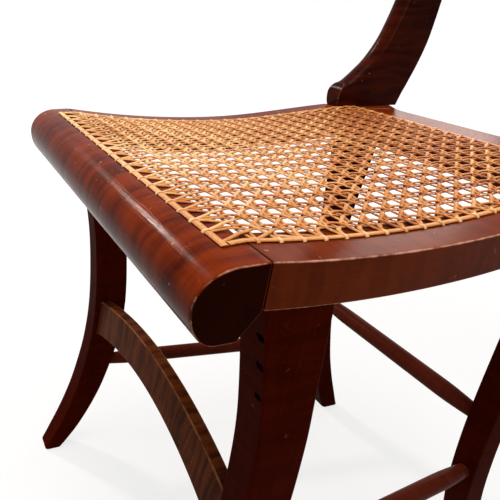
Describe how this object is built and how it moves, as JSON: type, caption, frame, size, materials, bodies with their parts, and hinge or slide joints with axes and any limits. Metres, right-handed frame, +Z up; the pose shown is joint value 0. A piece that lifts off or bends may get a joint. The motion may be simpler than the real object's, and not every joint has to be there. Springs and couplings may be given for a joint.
{
  "type": "klismos chair",
  "caption": "Curly-maple klismos side chair with a rolled front rail, dipped cane seat, sabre legs, arched front stretcher, turned rods, and curved back posts under a tablet crest.",
  "frame": {"origin": "centre of the chair's bounding box in plan, on the floor under the feet", "axes": "+Z up; the chair's front faces -Y; +X to the right as seen from the front"},
  "size_m": [0.4, 0.502, 0.8361],
  "materials": {
    "maple": "red-brown shellac over curly maple, glossy, worn at the arrises",
    "dark_maple": "darker red-brown shellac over curly maple, glossy",
    "cane": "aged honey-coloured rattan cane, semi-gloss",
    "nail": "dark oxidised iron, filled over"
  },
  "bodies": {
    "root": {"front_rail": "maple", "side_rail_right": "maple", "side_rail_left": "maple", "rear_rail": "maple", "front_leg_right": "dark_maple", "front_leg_left": "dark_maple", "rear_leg_right": "dark_maple", "rear_leg_left": "dark_maple", "back_post_right": "dark_maple", "back_post_left": "dark_maple", "crest_rail": "maple", "cross_splat": "maple", "front_stretcher": "maple", "side_stretcher_right": "dark_maple", "side_stretcher_left": "dark_maple", "rear_stretcher": "dark_maple", "cane_panel": "cane", "cane_binder_right": "cane", "cane_binder_left": "cane", "cane_binder_front": "cane", "cane_binder_rear": "cane", "leg_nail_1": "nail", "leg_nail_2": "nail", "leg_nail_3": "nail"}
  },
  "joints": []
}
